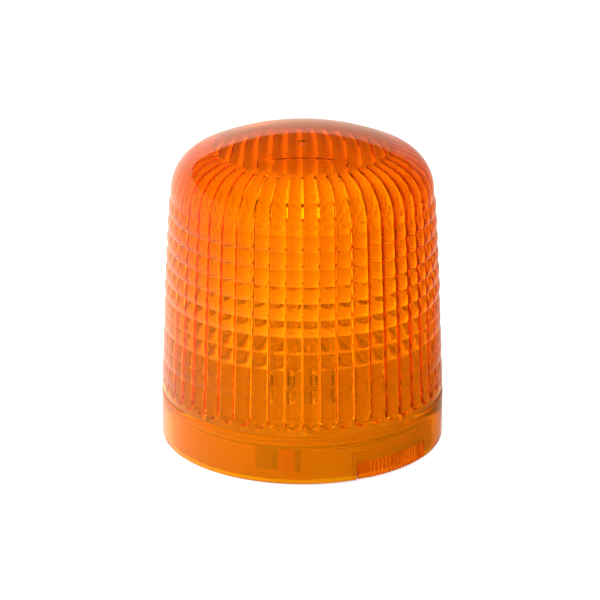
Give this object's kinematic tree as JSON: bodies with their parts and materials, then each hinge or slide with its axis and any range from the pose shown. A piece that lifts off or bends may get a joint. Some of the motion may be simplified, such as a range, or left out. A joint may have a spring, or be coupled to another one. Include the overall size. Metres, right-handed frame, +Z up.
{
  "type": "barricade warning light",
  "caption": "Amber dome warning light: fluted twist-on lens with a press tab over a low screw-down base with a flashing bayonet lamp.",
  "frame": {"origin": "centre of the footprint, on the surface that the light stands on", "axes": "+Z up along the lamp's axis, -Y towards the rating plate at the front, +X to the right seen from the front"},
  "size_m": [0.15, 0.15, 0.1686],
  "materials": {
    "amber_lens": "glossy transparent amber",
    "amber_tab": "glossy transparent amber",
    "label_plate": "matt, two tones",
    "seal_rubber": "matt",
    "base_plastic": "moulded, fine grain",
    "gasket_rubber": "matt",
    "grommet_rubber": "matt",
    "bush_rubber": "matt",
    "board_green": "solder mask",
    "zinc_steel": "zinc plated",
    "capacitor_sleeve": "shrink sleeve",
    "choke_copper": "enamelled copper wire",
    "chip_black": "moulded epoxy",
    "heat_sink_aluminium": "extruded",
    "terminal_plastic": "moulded",
    "contact_brass": "machined",
    "lead_red_sleeve": "insulation",
    "lead_black_sleeve": "insulation",
    "reflector_white": "glossy white",
    "switch_housing": "moulded",
    "switch_lever": "moulded",
    "holder_plastic": "heat resistant moulding",
    "nickel_brass": "nickel plated",
    "clear_glass": "clear blown glass",
    "tungsten": "drawn wire",
    "spring_steel": "drawn wire"
  },
  "bodies": {
    "base": {"base_housing": "base_plastic", "base_gasket": "gasket_rubber", "cable_grommet": "grommet_rubber", "mounting_bush_1": "bush_rubber", "mounting_bush_2": "bush_rubber", "mounting_bush_3": "bush_rubber", "circuit_board": "board_green", "board_screw_1": "zinc_steel", "board_screw_2": "zinc_steel", "board_screw_3": "zinc_steel", "smoothing_capacitor": "capacitor_sleeve", "timing_capacitor": "capacitor_sleeve", "suppression_choke": "choke_copper", "flasher_chip": "chip_black", "power_transistor": "chip_black", "heat_sink": "heat_sink_aluminium", "terminal_block": "terminal_plastic", "terminal_screw_1": "contact_brass", "terminal_screw_2": "contact_brass", "lead_red": "lead_red_sleeve", "lead_black": "lead_black_sleeve", "reflector_plate": "reflector_white", "plate_screw_1": "zinc_steel", "plate_screw_2": "zinc_steel", "plate_screw_3": "zinc_steel", "mode_switch_body": "switch_housing", "lamp_holder": "holder_plastic", "contact_spring": "spring_steel"},
    "seal": {"lens_seal": "seal_rubber"},
    "lens": {"lens_dome": "amber_lens", "rating_plate": "label_plate"},
    "tab": {"lock_tab": "amber_tab"},
    "lamp": {"lamp_cap": "nickel_brass", "lamp_glass": "clear_glass", "lamp_filament": "tungsten"},
    "plunger": {"contact_plunger": "contact_brass"},
    "switch": {"mode_switch_slider": "switch_lever"}
  },
  "joints": [
    {"name": "lens_twist", "type": "hinge", "parent": "base", "child": "seal", "pos_m": [0, 0, 0.0209], "axis": [0, 0, 1], "range_deg": [-35, 0]},
    {"name": "lens_lift", "type": "slide", "parent": "seal", "child": "lens", "axis": [0, 0, 1], "range_m": [0, 0.085]},
    {"name": "tab_press", "type": "hinge", "parent": "lens", "child": "tab", "pos_m": [0.06235, -0.03911, 0.0055], "axis": [0, 0, 1], "range_deg": [-2.5, 0], "stiffness_Nm_per_rad": 2},
    {"name": "lamp_twist", "type": "hinge", "parent": "base", "child": "lamp", "pos_m": [0, 0, 0.018], "axis": [0, 0, 1], "range_deg": [0, 25]},
    {"name": "contact_press", "type": "slide", "parent": "base", "child": "plunger", "axis": [0, 0, 1], "range_m": [-0.0013, 0], "stiffness_N_per_m": 600, "springref_m": 0.003, "deforming": ["contact_spring"]},
    {"name": "mode_slide", "type": "slide", "parent": "base", "child": "switch", "axis": [1, 0, 0], "range_m": [0, 0.004]}
  ]
}
